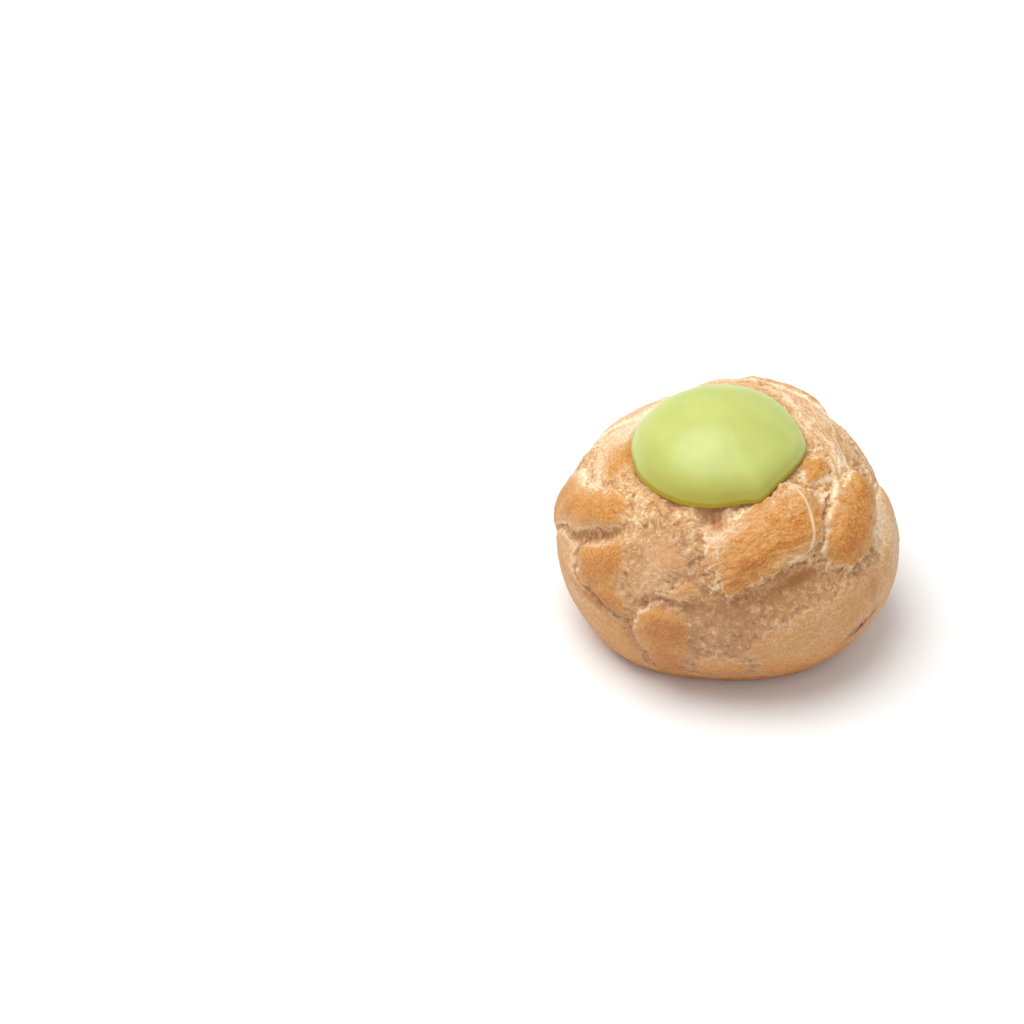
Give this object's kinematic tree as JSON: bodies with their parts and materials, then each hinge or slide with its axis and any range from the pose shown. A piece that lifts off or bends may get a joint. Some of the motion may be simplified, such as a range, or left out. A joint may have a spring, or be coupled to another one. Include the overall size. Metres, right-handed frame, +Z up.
{
  "type": "cream puff",
  "caption": "Round choux bun with a cracked, browned crust and a smooth domed cap of pale green icing; stands on its flat base.",
  "frame": {"origin": "centre of the flat base, which is the bottom centre of the bounding box", "axes": "+Z up from the base, -Y towards the front, where the crust is torn most, +X to the right"},
  "size_m": [0.0604, 0.0562, 0.0444],
  "materials": {
    "choux": "baked choux pastry: dry, matt, golden brown where the skin held and pale cream where it tore",
    "icing": "set sugar icing, pale green, smooth with a soft shine"
  },
  "bodies": {
    "root": {"choux_bun": "choux", "icing_cap": "icing"}
  },
  "joints": []
}
